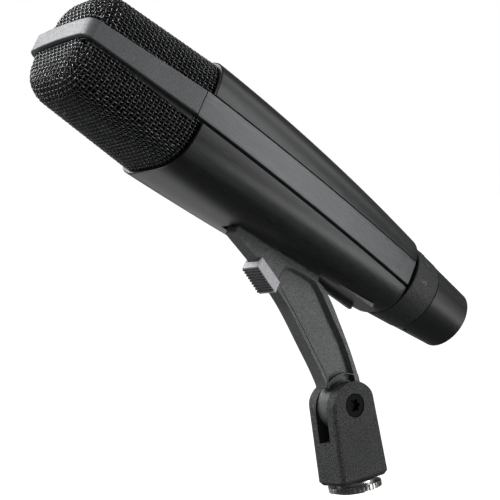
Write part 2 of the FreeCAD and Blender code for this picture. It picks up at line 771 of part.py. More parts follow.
def swivel_base():
    """The forked base: two ears for the arm's knuckle and a threaded insert's seat below."""
    slot = box((-20, -SLOT_HALF, SLOT_FLOOR), (20, SLOT_HALF, 20))
    base = base_block().cut(slot).cut(pin_y(SHANK_RADIUS + 0.02, -9, 9))
    base = base.cut(pin_y(HEAD_RADIUS + 0.35, -9, -5.6)).cut(hex_prism(3.4, 5.6, 9))
    seat_top = INSERT_DEPTH + 0.05 - PIVOT_HEIGHT
    seat = Part.makeCylinder(INSERT_RADIUS, seat_top - BASE_BOTTOM, Vector(0, 0, BASE_BOTTOM), UP)
    return base.cut(seat)


def hex_prism(half_flats, low, high):
    """A hexagon across Y, with half its width across flats."""
    corner = half_flats / math.cos(math.radians(30))
    points = [Vector(corner * math.cos(math.radians(60 * k)), low, corner * math.sin(math.radians(60 * k)))
              for k in range(6)]
    return Part.Face(Part.makePolygon(points + points[:1])).extrude(Vector(0, high - low, 0))


def pivot_screw():
    """A six-lobe socket screw through both ears and the knuckle."""
    head = pin_y(HEAD_RADIUS, -8.0, -5.65)
    shank = pin_y(SHANK_RADIUS, -5.7, 8.0)
    lobes = [pin_y(0.66, -9, -6.4, 1.95 * math.cos(a), 1.95 * math.sin(a))
             for a in [math.radians(60 * k) for k in range(6)]]
    return head.fuse(shank).cut(fuse([pin_y(1.9, -9, -6.4)] + lobes))


def pivot_nut():
    return hex_prism(3.35, 5.65, 8.0).cut(pin_y(SHANK_RADIUS + 0.02, 0, 9))


def thread_insert():
    """The metal insert with the stand thread: its knurled flange and seat ring are below the base."""
    flange_bottom = Vector(0, 0, SEAT_RING_HEIGHT)
    flange = Part.makeCylinder(FLANGE_RADIUS, FLANGE_THICKNESS - SEAT_RING_HEIGHT, flange_bottom, UP)
    seat_ring = Part.makeCylinder(SEAT_RING_RADIUS, SEAT_RING_HEIGHT + 1, ORIGIN, UP)
    sleeve = Part.makeCylinder(INSERT_RADIUS - 0.02, INSERT_DEPTH, ORIGIN, UP)
    bore = Part.makeCylinder(THREAD_RADIUS, INSERT_DEPTH + 2, Vector(0, 0, -1), UP)
    knurls = []
    for step in range(36):
        angle = math.radians(10 * step)
        centre = Vector(FLANGE_RADIUS * math.cos(angle), FLANGE_RADIUS * math.sin(angle), -1)
        knurls.append(Part.makeCylinder(0.35, FLANGE_THICKNESS + 2, centre, UP))
    return flange.fuse(seat_ring).fuse(sleeve).cut(group(knurls)).cut(bore)


def seat_washer():
    """A thin plain washer between the insert's flange and the base."""
    bottom = Vector(0, 0, FLANGE_THICKNESS + 0.02)
    washer = Part.makeCylinder(WASHER_RADIUS, WASHER_THICKNESS - 0.02, bottom, UP)
    return washer.cut(Part.makeCylinder(INSERT_RADIUS, 3, Vector(0, 0, FLANGE_THICKNESS - 1), UP))


# ---------------------------------------------------------------- write every part

def write_case():
    blank = case_blank()
    save("upper_housing_shell", upper_housing_shell(blank), MIC)
    save("lower_housing_shell", lower_housing_shell(blank), MIC)
    save("clip_rail", clip_rail(), MIC)
    save("chassis_frame", chassis_frame(), MIC)


def write_grille():
    save("grille_bridge", grille_bridge(), MIC)
    save("basket_frame", basket_frame(), MIC)
    save("upper_mesh_basket", upper_mesh_basket(), MIC)
    save("lower_mesh_basket", lower_mesh_basket(), MIC)
    save("foam_liner", foam_liner(), MIC)


def write_capsule():
    pieces = (
        capsule_cap, capsule_housing, diaphragm, voice_coil, magnet_cup, top_plate, pole_piece,
        magnet, acoustic_felt, humbucking_coil, front_suspension, rear_suspension, bass_tube,
    )
    for piece in pieces:
        save(piece.__name__, piece(), MIC)


def write_inside():
    pieces = (
        filter_board, filter_choke, filter_capacitors, filter_resistors, board_bracket,
        switch_wafer, tail_nut, internal_leads,
    )
    for piece in pieces:
        save(piece.__name__, piece(), MIC)


def write_tail():
    pieces = (
        connector_barrel, connector_insert, connector_pins, insert_screw, detent_ball,
        detent_spring, rolloff_ring, ring_pointer, switch_rotor, drive_pin,
    )
    for piece in pieces:
        save(piece.__name__, piece(), MIC)


def write_clip():
    save("clip_arm", clip_arm())
    save("latch_button", latch_button(), LATCH)
    save("latch_bolt", latch_bolt(), LATCH)
    save("latch_spring", latch_spring(), LATCH)


def write_stand_base():
    save("swivel_base", swivel_base(), PIVOT)
    save("pivot_screw", pivot_screw(), PIVOT)
    save("pivot_nut", pivot_nut(), PIVOT)
    save("thread_insert", thread_insert())
    save("seat_washer", seat_washer())


os.makedirs("parts", exist_ok=True)
write_case()
write_grille()
write_capsule()
write_inside()
write_tail()
write_clip()
write_stand_base()
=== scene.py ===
"""The looks of a large dynamic broadcast microphone on its tilting stand clip.

Shapes are worked out in millimetres, most of them in the microphone's own frame: X from the front
to the tail, Y across, Z out through the top shell. The objects themselves are in metres.
"""

import json
import math

import bmesh
import bpy
import numpy as np
from mathutils import Matrix, Vector


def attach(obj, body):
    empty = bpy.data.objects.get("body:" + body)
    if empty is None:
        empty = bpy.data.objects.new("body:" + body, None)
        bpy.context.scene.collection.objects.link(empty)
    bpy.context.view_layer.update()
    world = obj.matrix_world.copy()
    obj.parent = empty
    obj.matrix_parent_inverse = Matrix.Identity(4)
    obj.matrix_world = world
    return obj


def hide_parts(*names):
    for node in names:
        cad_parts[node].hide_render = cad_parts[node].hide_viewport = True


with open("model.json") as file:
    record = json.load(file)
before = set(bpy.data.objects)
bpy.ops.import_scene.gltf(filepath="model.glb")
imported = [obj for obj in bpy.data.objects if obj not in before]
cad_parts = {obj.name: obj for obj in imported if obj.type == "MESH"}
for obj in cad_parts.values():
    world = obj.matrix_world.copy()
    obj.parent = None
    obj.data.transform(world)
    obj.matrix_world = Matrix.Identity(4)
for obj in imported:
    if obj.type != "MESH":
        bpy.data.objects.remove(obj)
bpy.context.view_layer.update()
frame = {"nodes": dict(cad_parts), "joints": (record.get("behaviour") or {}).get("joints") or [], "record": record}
MM = 0.001

# ---------------------------------------------------------------- driving dimensions, in millimetres

MIC_LENGTH = 215.0

# Sizes along the case: each is a constant, a linear and a square term.
WIDTH_TERMS = (24.7, -1.4, -7.2)
TOP_TERMS = (23.7, 0.3, -6.6)
BOTTOM_TERMS = (24.2, -3.5, -3.4)
SQUARE_TERMS = (3.46, -0.84, 0.0)

SHELL_FRONT, SHELL_REAR = 55.9, 178.0
SHELL_LIP = 0.35
SHELL_WALL = 2.2
SHELL_BEVEL_LENGTH = 1.4
SHELL_REAR_WALL = ((0.55, 0.22), (0.12, 0.62), (0.0, 1.1), (0.0, 4.2), (2.6, 4.2))  # (forward, inset)
SHELL_INSIDE_END = 3.4  # how far ahead of the rear the plain wall ends
SHELL_COLUMNS = 121
UPPER_GROOVE = 0.35
LOWER_GROOVE = 1.2

STRIP_FRONT, STRIP_REAR = 52.35, 177.3
STRIP_HALF_HEIGHT = 5.4
STRIP_PROUD, STRIP_DEPTH = 0.15, 3.2
FLANGE_FRONT, FLANGE_REAR = 56.4, 172.0
FLANGE_BOTTOM, FLANGE_TOP = -9.0, 8.0
FLANGE_INSETS = (2.3, 4.0)

TRACK_FRONT, TRACK_REAR = 98.0, 171.0
TRACK_HALF_WIDTH = 5.6
TRACK_ROOF = -17.4
TRACK_CUT_BOTTOM = -40.0
PAD_FRONT = 95.0
PAD_TOP, PAD_BOTTOM = -15.4, -18.9
PAD_HALF_WIDTH = 7.4

BRIDGE_HALF_FRONT, BRIDGE_HALF_REAR = 21.0, 25.2
BRIDGE_BOW = 1.0
BRIDGE_REAR = 52.3
BRIDGE_HEIGHT_FRONT, BRIDGE_HEIGHT_REAR = 3.65, 5.1
BRIDGE_CORNER = 4.5
BRIDGE_CORNER_STEPS = 16
BRIDGE_THICKNESS = 2.0

BAND_DEPTH_FRONT, BAND_DEPTH_REAR = 4.0, 8.4
BAND_SLOPE_FRONT, BAND_SLOPE_REAR = -2.0, 60.0  # the stations that have these two depths
BAND_ABOVE = 4.8
BAND_THICKNESS = 1.6
BAND_GAP = 0.05
BAND_REAR = BRIDGE_REAR - 0.3
BASKET_TUCK = 0.6  # how far the wires go in behind the band

MESH_INSET = 2.1
MESH_TOP_TERMS, MESH_BOTTOM_TERMS = (21.3, 1.3), (21.6, 1.6)
LOWER_PLAN_RADIUS, UPPER_PLAN_RADIUS = 5.0, 10.0
MESH_SIDE_RADIUS = 10.5
MESH_SQUARENESS = 3.5
MESH_TOP_FRONT = 12.7  # just behind the front's rounding
MESH_FACE_REAR = 13.0  # the wires that cross the front lie ahead of this station
MESH_MIDDLE = 30.0  # the section that the lengthwise wires are counted round
MESH_REAR = 55.8
LENGTH_PITCH = 1.28  # between wires that run along the head
CROSS_PITCH = 1.8  # between wires that run across it
WIRE_RADIUS = 0.26
WIRE_STEP = 0.42
FAMILY_OVERLAP = 0.02  # how far two sets of wires run on into each other
FOAM_INSET = 1.9
FOAM_SIDE_FRONT, FOAM_REAR = 15.0, 55.0

RING_FRONT, RING_REAR = 178.6, 193.0
RING_FRONT_RADIUS, RING_REAR_RADIUS = 17.0, 15.55
RING_FRONT_BEVEL, RING_FRONT_RISE = 0.7, 0.63
RING_REAR_BEVEL = 0.4
RING_CONE_FRONT, RING_CONE_REAR = RING_FRONT + 1.2, RING_REAR - 0.8
RING_BORE = 11.55
NUMERAL_COUNT = 5
NUMERAL_SIZE, NUMERAL_THICKNESS = 4.4, 0.3
NUMERAL_LIFT = 0.02
NUMERAL_STATION = RING_FRONT + 6.0
NUMERAL_START, NUMERAL_STEP = 61, 30  # degrees round the ring

PIVOT_HEIGHT = 35.0
ARM_HALF = 3.35
LATCH_X, LATCH_Z = -32.8, 99.8  # where the button's top meets the arm's front edge
RIB_FOOT = 2.95  # the button's ribs stand out past this height, and are dark
BEAD_RADIUS, BEAD_SINK = 0.38, 0.16
RIM_POINTS = (  # along the recess's rim in the arm's side: X and height from the pivot
    (-8.6, 9.0), (-7.4, 12.3), (-10.6, 20.6), (-13.9, 28.8), (-16.9, 37.2), (-24.4, 53.4),
    (-23.6, 56.0), (-20.2, 59.5), (-15.8, 58.9), (-5.6, 51.4))


# ---------------------------------------------------------------- frames

def mic_frame():
    """The microphone's frame, from the tail socket's place and direction."""
    tail = next(m for m in frame["record"]["mounts"] if m["name"] == "xlr_output")
    along = Vector(tail["axis"]).normalized()
    across = Vector((0, 1, 0))
    origin = Vector(tail["pos_m"]) - along * MIC_LENGTH * MM
    turn = Matrix((along, across, along.cross(across))).transposed().to_4x4()
    return Matrix.Translation(origin) @ turn


def latch_frame():
    """The latch's frame: X the way the button slides, Z into the arm."""
    slide = next(j for j in frame["joints"] if j["name"] == "latch_pull")
    along = Vector(slide["axis"]).normalized()
    across = Vector((0, 1, 0))
    turn = Matrix((along, across, along.cross(across))).transposed().to_4x4()
    return Matrix.Translation((LATCH_X * MM, 0, LATCH_Z * MM)) @ turn


MIC = mic_frame()
MIC_TILT = MIC.to_euler().y
SCENE_FRAME = Matrix.Identity(4)


# ---------------------------------------------------------------- mesh helpers

def new_object(name, vertices, faces, placement):
    """A mesh object from points in millimetres in the frame that placement gives."""
    mesh = bpy.data.meshes.new(name)
    mesh.from_pydata((np.asarray(vertices, float) * MM).tolist(), [], faces)
    mesh.transform(placement)
    mesh.validate()
    mesh.update()
    thing = bpy.data.objects.new(name, mesh)
    bpy.context.scene.collection.objects.link(thing)
    return thing


def outward(thing):
    """Turns every face of a closed mesh outward."""
    shape = bmesh.new()
    shape.from_mesh(thing.data)
    bmesh.ops.recalc_face_normals(shape, faces=shape.faces)
    shape.to_mesh(thing.data)
    shape.free()


def all_smooth(thing):
    thing.data.polygons.foreach_set("use_smooth", [True] * len(thing.data.polygons))


def smooth(thing, angle=35.0):
    """Smooth shading with sharp edges kept past an angle in degrees."""
    all_smooth(thing)
    thing.data.set_sharp_from_angle(angle=math.radians(angle))


def soften(thing, width, angle, segments=3):
    """Rounds the edges sharper than an angle, and evens the shading beside them."""
    bevel = thing.modifiers.new("rounded_edges", "BEVEL")
    bevel.width = width * MM
    bevel.segments = segments
    bevel.limit_method = "ANGLE"
    bevel.angle_limit = math.radians(angle)
    bevel.harden_normals = False
    all_smooth(thing)
    even = thing.modifiers.new("even_shading", "WEIGHTED_NORMAL")
    even.keep_sharp = False
    even.weight = 80


def finish_piece(thing, body, slot, looks, *nodes):
    """Gives a piece its looks, its body and slot, and the CAD nodes that it replaces."""
    thing.data.materials.clear()
    thing.data.materials.append(looks[slot])
    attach(thing, body)
    if nodes:
        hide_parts(*nodes)
    return thing


def refined(node, body, slot, looks, width, angle=35.0):
    """A copy of a CAD node with merged faces and rounded edges."""
    source = frame["nodes"][node]
    thing = bpy.data.objects.new(node + "_finished", source.data.copy())
    bpy.context.scene.collection.objects.link(thing)
    shape = bmesh.new()
    shape.from_mesh(thing.data)
    bmesh.ops.remove_doubles(shape, verts=shape.verts, dist=0.002 * MM)
    bmesh.ops.dissolve_limit(
        shape, angle_limit=math.radians(0.5), verts=shape.verts, edges=shape.edges)
    shape.to_mesh(thing.data)
    shape.free()
    for name in ("custom_normal", "sharp_edge", "sharp_face"):
        if name in thing.data.attributes:
            thing.data.attributes.remove(thing.data.attributes[name])
    soften(thing, width, angle, segments=2)
    return finish_piece(thing, body, slot, looks, node)


def grid_faces(rows, columns, wrap_rows=False, start=0):
    """Quads over a grid of points held row by row, where each row is a closed loop."""
    faces = []
    for i in range(rows if wrap_rows else rows - 1):
        for j in range(columns):
            k, m = (i + 1) % rows, (j + 1) % columns
            faces.append((start + i * columns + j, start + i * columns + m,
                          start + k * columns + m, start + k * columns + j))
    return faces


def closed_sweep(rings):
    """Vertices and faces of a closed body from equal rings, with flat ends."""
    count = len(rings[0])
    vertices = [point for ring in rings for point in ring]
    faces = grid_faces(len(rings), count)
    faces.append(tuple(range(count))[::-1])
    faces.append(tuple(range((len(rings) - 1) * count, len(rings) * count)))
    return vertices, faces


def turned_piece(name, profile, steps):
    """A body turned about the microphone's axis from a closed loop of (station, radius) points."""
    vertices = []
    for step in range(steps):
        angle = 2 * math.pi * step / steps
        vertices += [(s, r * math.cos(angle), r * math.sin(angle)) for s, r in profile]
    faces = grid_faces(steps, len(profile), wrap_rows=True)
    thing = new_object(name, vertices, faces, MIC)
    outward(thing)
    return thing


def measure(points):
    """How far along a path each of its points is."""
    return np.concatenate([[0], np.cumsum(np.linalg.norm(np.diff(points, axis=0), axis=1))])


def even_points(points, count):
    """The same curve with its points spread evenly along it."""
    points = np.asarray(points, float)
    gone = measure(points)
    at = np.linspace(0, gone[-1], count)
    return np.stack([np.interp(at, gone, points[:, k]) for k in range(3)], axis=1)


# ---------------------------------------------------------------- case

def along_case(terms, station):
    """A size of the case at a station, from its three terms."""
    t = (station - SHELL_FRONT) / (SHELL_REAR - SHELL_FRONT)
    return terms[0] + terms[1] * t + terms[2] * t * t


def case_arc(station, inset, edge, side):
    """The case's section from a height on one side over to the other, for the top or the bottom."""
    width = along_case(WIDTH_TERMS, station) - inset
    height = along_case(TOP_TERMS if side > 0 else BOTTOM_TERMS, station) - inset
    power = 2 / along_case(SQUARE_TERMS, station)
    first = math.asin(min(1.0, edge / height) ** (1 / power))
    angles = np.linspace(first, math.pi - first, 721)
    cosine, sine = np.cos(angles), np.sin(angles)
    across = width * np.sign(cosine) * np.abs(cosine) ** power
    high = side * height * np.abs(sine) ** power
    return even_points(np.stack([np.full_like(across, station), across, high], axis=1), SHELL_COLUMNS)


def shell_profile():
    """Round the wall of a shell, as (station, inset) points: outside, rear wall, inside."""
    side_ends = (SHELL_FRONT + SHELL_LIP, SHELL_REAR - SHELL_BEVEL_LENGTH)
    outside = [(s, 0.0) for s in np.linspace(*side_ends, 50)]
    rear = [(SHELL_REAR - forward, inset) for forward, inset in SHELL_REAR_WALL]
    inside = [(s, SHELL_WALL) for s in np.linspace(SHELL_REAR - SHELL_INSIDE_END, SHELL_FRONT, 24)]
    return [(SHELL_FRONT, SHELL_LIP)] + outside + rear + inside


def housing_shell(name, edge, side):
    """The top shell (side 1) or the bottom shell (side -1), whose edges are at a height."""
    profile = shell_profile()
    columns = np.stack([case_arc(s, inset, edge, side) for s, inset in profile], axis=1)
    vertices, faces = closed_sweep([list(ring) for ring in columns])
    thing = new_object(name, vertices, faces, MIC)
    outward(thing)
    return thing


def box_object(name, low, high):
    """A box between two corners in the microphone's frame."""
    xs, ys, zs = zip(low, high)
    corners = [(x, y, z) for x in xs for y in ys for z in zs]
    faces = [(0, 1, 3, 2), (4, 6, 7, 5), (0, 4, 5, 1), (2, 3, 7, 6), (0, 2, 6, 4), (1, 5, 7, 3)]
    return new_object(name, corners, faces, MIC)


def combine(thing, tool, operation):
    """Applies a boolean in place and removes the tool."""
    change = thing.modifiers.new("combine", "BOOLEAN")
    change.operation = operation
    change.object = tool
    change.solver = "EXACT"
    bpy.context.view_layer.update()
    solved = thing.evaluated_get(bpy.context.evaluated_depsgraph_get())
    mesh = bpy.data.meshes.new_from_object(solved)
    thing.modifiers.remove(change)
    old = thing.data
    thing.data = mesh
    bpy.data.meshes.remove(old)
    bpy.data.objects.remove(tool)


def lower_shell():
    """The bottom shell with its clip track."""
    shell = housing_shell("lower_shell", STRIP_HALF_HEIGHT + LOWER_GROOVE, -1)
    pad = box_object(
        "pad", (PAD_FRONT, -PAD_HALF_WIDTH, PAD_BOTTOM), (TRACK_REAR, PAD_HALF_WIDTH, PAD_TOP))
    combine(shell, pad, "UNION")
    track = box_object(
        "track", (TRACK_FRONT, -TRACK_HALF_WIDTH, TRACK_CUT_BOTTOM),
        (SHELL_REAR + 1, TRACK_HALF_WIDTH, TRACK_ROOF))
    combine(shell, track, "DIFFERENCE")
    return shell


def strip_point(station, inset, z):
    """The point at a height on the case's left side, moved in by inset."""
    width = along_case(WIDTH_TERMS, station) - inset
    height = along_case(TOP_TERMS if z > 0 else BOTTOM_TERMS, station) - inset
    power = along_case(SQUARE_TERMS, station)
    return (station, width * (1 - abs(z / height) ** power) ** (1 / power), z)


def side_strip(name, side, insets, stations, low, high):
    """One side's strip between two heights, from an outer inset to an inner one."""
    heights = np.linspace(low, high, 13)
    rings = []
    for s in stations:
        outer = [strip_point(s, insets[0], z) for z in heights]
        inner = [strip_point(s, insets[1], z) for z in heights[::-1]]
        rings.append([(x, side * y, z) for x, y, z in outer + inner])
    vertices, faces = closed_sweep(rings)
    thing = new_object(name, vertices, faces, MIC)
    outward(thing)
    return thing


# ---------------------------------------------------------------- head

def bridge_half_width(station):
    """Half the strap's outside width, which grows evenly towards the case."""
    slope = (BRIDGE_HALF_REAR - BRIDGE_HALF_FRONT) / (BRIDGE_REAR - BRIDGE_BOW)
    return BRIDGE_HALF_FRONT + slope * (station - BRIDGE_BOW)


def bridge_outline(inset, rear):
    """Half the strap's plan, from the middle of its bowed front to its rear end, as (station, y)."""
    front = BRIDGE_BOW + inset
    half = bridge_half_width(front) - inset
    radius = BRIDGE_CORNER - inset
    slope = math.atan2(BRIDGE_HALF_REAR - BRIDGE_HALF_FRONT, BRIDGE_REAR - BRIDGE_BOW)
    bow_end = half - radius
    points = [(inset + BRIDGE_BOW * (y / half) ** 2, y) for y in np.linspace(0, bow_end, 16)]
    lean = math.atan2(2 * BRIDGE_BOW * bow_end / half ** 2, 1.0)
    turn = math.pi / 2 - lean - slope
    chord = 2 * radius * math.sin(turn / (2 * BRIDGE_CORNER_STEPS))
    for step in range(BRIDGE_CORNER_STEPS):
        heading = lean + turn * (step + 0.5) / BRIDGE_CORNER_STEPS
        s, y = points[-1]
        points.append((s + chord * math.sin(heading), y + chord * math.cos(heading)))
    s, y = points[-1]
    rear_half = bridge_half_width(rear) - inset
    for share in np.linspace(0, 1, 20)[1:]:
        points.append((s + (rear - s) * share, y + (rear_half - y) * share))
    return points


def strap_piece(name, outer_inset, thickness, rear, low_at, high_at):
    """A strap that follows the head's plan, between two heights that depend on the station."""
    outer = bridge_outline(outer_inset, rear)
    inner = bridge_outline(outer_inset + thickness, rear)
    ends = list(zip(outer, inner))
    ends = [((a[0], -a[1]), (b[0], -b[1])) for a, b in ends[:0:-1]] + ends
    rings = []
    for (s, y), (s_in, y_in) in ends:
        rings.append([(s, y, low_at(s)), (s, y, high_at(s)),
                      (s_in, y_in, high_at(s)), (s_in, y_in, low_at(s))])
    vertices, faces = closed_sweep(rings)
    thing = new_object(name, vertices, faces, MIC)
    outward(thing)
    return thing


def bridge_height(station):
    """How far above and below the middle the strap reaches."""
    return BRIDGE_HEIGHT_FRONT + (BRIDGE_HEIGHT_REAR - BRIDGE_HEIGHT_FRONT) * station / BRIDGE_REAR


def band_depth(station):
    """How far below the middle the dark band reaches."""
    share = (station - BAND_SLOPE_FRONT) / (BAND_SLOPE_REAR - BAND_SLOPE_FRONT)
    return BAND_DEPTH_FRONT + (BAND_DEPTH_REAR - BAND_DEPTH_FRONT) * share


def round_off(depth, radius):
    """How far a quarter-round edge stands back at a depth from its front."""
    depth = np.clip(depth, 0.0, radius)
    return radius - np.sqrt(radius ** 2 - (radius - depth) ** 2)


def head_sizes(station, inset, plan_radius):
    """Half width, top and bottom of the mesh head's section."""
    depth = station - MESH_INSET - inset
    width = bridge_half_width(station) - MESH_INSET - inset - round_off(depth, plan_radius - inset)
    along = station / SHELL_FRONT
    drop = round_off(depth, MESH_SIDE_RADIUS - inset) + inset
    top = MESH_TOP_TERMS[0] + MESH_TOP_TERMS[1] * along - drop
    bottom = MESH_BOTTOM_TERMS[0] + MESH_BOTTOM_TERMS[1] * along - drop
    return width, top, bottom


def head_level(station, y, z, inset, plan_radius):
    """Above 1 outside the head, below 1 inside it."""
    width, top, bottom = head_sizes(station, inset, plan_radius)
    height = np.where(z >= 0, top, bottom)
    return np.abs(y / width) ** MESH_SQUARENESS + np.abs(z / height) ** MESH_SQUARENESS


def head_normals(points, inset, plan_radius):
    """Outward directions on the head's surface, straight ahead on its flat front."""
    step = 0.01
    margin = 0.02
    rounding_level = 0.97
    s, y, z = points.T
    front = MESH_INSET + inset
    on_front = s < front + margin
    s = np.maximum(s, front + margin)

    def level(ahead, beside, above):
        return head_level(s + ahead, y + beside, z + above, inset, plan_radius)

    slope = np.stack([
        2 * (level(step, 0, 0) - level(0, 0, 0)), level(0, step, 0) - level(0, -step, 0),
        level(0, 0, step) - level(0, 0, -step)], axis=1)
    slope[on_front & (level(0, 0, 0) < rounding_level)] = (-1, 0, 0)
    return slope / np.maximum(np.linalg.norm(slope, axis=1, keepdims=True), 1e-9)


def front_stations(inset):
    """Stations from the front back to the end of the rounding, close together at the front."""
    reach = MESH_SIDE_RADIUS - inset
    return MESH_INSET + inset + reach * (1 - np.cos(np.linspace(0, math.pi / 2, 60)))


class Weave:
    """Woven wires over the top or the bottom of the head.

    Lengthwise wires run down the front, back along the top and along the sides. Crosswise wires run
    across the front, and from side to side over the top. Each wire lies in a plane across one axis,
    shows where the surface isn't nearly parallel to that plane, and passes over and under the wires
    that it crosses. The counts number the wires, evenly along the surface.
    """

    def __init__(self, side, edge, inset):
        self.side, self.edge, self.inset = side, edge, inset
        self.plan_radius = UPPER_PLAN_RADIUS if side > 0 else LOWER_PLAN_RADIUS
        self.front = MESH_INSET + inset
        self.stations = np.concatenate(
            [front_stations(inset), np.linspace(MESH_TOP_FRONT, MESH_REAR, 90)])
        self.section = self.section_table()
        self.middle = self.middle_table()

    def section_table(self):
        """Y, height and count of lengthwise wires, from the middle of the top down one side."""
        angle = np.linspace(math.pi / 2, 0, 900)
        y = self.width_at(MESH_MIDDLE) * np.cos(angle) ** (2 / MESH_SQUARENESS)
        z = self.height_at(MESH_MIDDLE) * np.sin(angle) ** (2 / MESH_SQUARENESS)
        return y, z, measure(np.stack([y, z], axis=1)) / LENGTH_PITCH

    def middle_table(self):
        """Station, height and count of crosswise wires, up the front and back along the top."""
        heights = self.height_at(self.stations)
        count = measure(np.stack([self.stations, heights], axis=1)) / CROSS_PITCH
        foot = -heights[0] / CROSS_PITCH
        return (np.concatenate([[self.front], self.stations]), np.concatenate([[0.0], heights]),
                np.concatenate([[foot], count]))

    def width_at(self, station):
        return head_sizes(station, self.inset, self.plan_radius)[0]

    def height_at(self, station):
        return head_sizes(station, self.inset, self.plan_radius)[1 if self.side > 0 else 2]

    def count_from_y(self, y):
        return np.interp(np.abs(y), self.section[0], self.section[2])

    def count_from_side(self, z):
        return np.interp(z, self.section[1][::-1], self.section[2][::-1])

    def count_from_station(self, s):
        return np.interp(s, self.middle[0][1:], self.middle[2][1:])

    def count_from_front(self, z):
        return np.interp(z, self.middle[1], self.middle[2])

    def surface_z(self, s, y):
        share = np.clip(1 - np.abs(y / self.width_at(s)) ** MESH_SQUARENESS, 0, None)
        return self.height_at(s) * share ** (1 / MESH_SQUARENESS)

    def lengthwise(self, y):
        """A wire in a plane across Y: up the front and back along the top."""
        s = self.stations
        z = self.surface_z(s, np.full_like(s, y))
        along = np.stack([s, np.full_like(s, y), z], axis=1)[z > self.edge]
        if len(along) < 3:
            return None
        if along[0][0] < self.front + 0.05:
            up = np.linspace(self.edge, along[0][2], 40)[:-1]
            start = np.stack([np.full_like(up, self.front), np.full_like(up, y), up], axis=1)
            along = np.concatenate([start, along])
        return along

    def crosswise(self, s):
        """A wire in a plane across X: from one side over to the other."""
        width, height = self.width_at(s), self.height_at(s)
        if height <= self.edge:
            return None
        first = math.asin((self.edge / height) ** (MESH_SQUARENESS / 2))
        angle = np.linspace(first, math.pi - first, 500)
        y = width * np.sign(np.cos(angle)) * np.abs(np.cos(angle)) ** (2 / MESH_SQUARENESS)
        z = height * np.sin(angle) ** (2 / MESH_SQUARENESS)
        return np.stack([np.full_like(y, s), y, z], axis=1)

    def level(self, z):
        """A wire at one height: along one side, across the front and back along the other side."""
        s = self.stations[::-1]
        height = self.height_at(s)
        share = np.clip(1 - (z / height) ** MESH_SQUARENESS, 0, None)
        y = self.width_at(s) * share ** (1 / MESH_SQUARENESS)
        one = np.stack([s, y, np.full_like(s, z)], axis=1)[height > z]
        if len(one) < 3:
            return None
        across = np.linspace(one[-1][1], -one[-1][1], 60)[1:-1]
        front = np.stack([np.full_like(across, one[-1][0]), across, np.full_like(across, z)], axis=1)
        return np.concatenate([one, front, one[::-1] * (1, -1, 1)])

    def paths(self):
        """Every wire as (family, index, points)."""
        y, z, along = self.section
        last = int(along[-1])
        for k in range(-last, last + 1):
            yield "lengthwise", k, self.lengthwise(math.copysign(float(np.interp(abs(k), along, y)), k))
        for k in range(last + 1):
            height = float(np.interp(k, along, z))
            if height > self.edge:
                yield "side_level", k, self.level(height)
        stations, heights, across = self.middle
        for k in range(int(across[-1]) + 1):
            yield "crosswise", k, self.crosswise(float(np.interp(k, across, stations)))
        lowest = int(math.ceil(float(np.interp(self.edge, heights, across))))
        for k in range(lowest, int(self.count_from_station(MESH_FACE_REAR)) + 1):
            yield "front_level", k, self.level(float(np.interp(k, across, heights)))

    def wires(self):
        """Every wire's centre line with its outward directions, waved over and under."""
        mirror = np.array([1, 1, self.side])
        for family, index, points in self.paths():
            if points is None:
                continue
            points = even_points(points, max(4, int(measure(points)[-1] / WIRE_STEP) + 1))
            normals = head_normals(points, self.inset, self.plan_radius)
            shown, wave = self.pattern(family, index, points, normals ** 2)
            points = points + normals * wave[:, None]
            for first, last in runs(shown):
                if last - first > 4:
                    yield points[first:last] * mirror, normals[first:last] * mirror

    def pattern(self, family, index, points, flat):
        """Where a wire shows, and how far it stands out along its length."""
        s, y, z = points.T
        ahead, beside, above = flat.T
        more, less = 1 + FAMILY_OVERLAP, 1 - FAMILY_OVERLAP

        def over(count):
            return WIRE_RADIUS * np.cos(np.pi * (count + index))

        if family == "lengthwise":
            share = blend_share(ahead, above)
            wave = share * over(self.count_from_front(z)) + (1 - share) * over(self.count_from_station(s))
            return beside <= np.maximum(ahead, above) * more, wave
        if family == "side_level":
            return beside >= np.maximum(ahead, above) * less, over(self.count_from_station(s))
        if family == "crosswise":
            share = blend_share(beside, above)
            wave = share * over(self.count_from_side(z)) + (1 - share) * over(self.count_from_y(y))
            return ahead <= np.maximum(beside, above) * more, -wave
        return ahead >= np.maximum(beside, above) * less, -over(self.count_from_y(y))


def blend_share(first, second):
    """1 where the surface faces the first way, 0 where it faces the second."""
    share = first / np.maximum(first + second, 1e-9)
    share = np.clip((share - 0.4) / 0.2, 0, 1)
    return share * share * (3 - 2 * share)


def runs(shown):
    """The stretches of True in a list, as (first, last) pairs."""
    edges = np.flatnonzero(np.diff(np.concatenate([[0], shown.astype(int), [0]])))
    return list(zip(edges[::2], edges[1::2]))


def wire_mesh(name, wires, radius, sides=6, placement=MIC):
    """All the wires as one mesh of closed tubes."""
    vertices, faces, count = [], [], 0
    angles = 2 * np.pi * np.arange(sides) / sides
    for points, normals in wires:
        tangents = np.gradient(points, axis=0)
        tangents /= np.maximum(np.linalg.norm(tangents, axis=1, keepdims=True), 1e-9)
        beside = np.cross(tangents, normals)
        beside /= np.maximum(np.linalg.norm(beside, axis=1, keepdims=True), 1e-9)
        above = np.cross(beside, tangents)
        rings = (points[:, None, :] + radius * (np.cos(angles)[None, :, None] * above[:, None, :]
                                               + np.sin(angles)[None, :, None] * beside[:, None, :]))
        vertices.append(rings.reshape(-1, 3))
        faces += grid_faces(len(points), sides, start=count)
        faces.append(tuple(range(count, count + sides))[::-1])
        last = count + (len(points) - 1) * sides
        faces.append(tuple(range(last, last + sides)))
        count += len(points) * sides
    thing = new_object(name, np.concatenate(vertices), faces, placement)
    all_smooth(thing)
    return thing


def mesh_basket(name, side, edge):
    """The woven wires of one basket, from a height out."""
    weave = Weave(side, edge, 2 * WIRE_RADIUS)
    return wire_mesh(name, list(weave.wires()), WIRE_RADIUS)


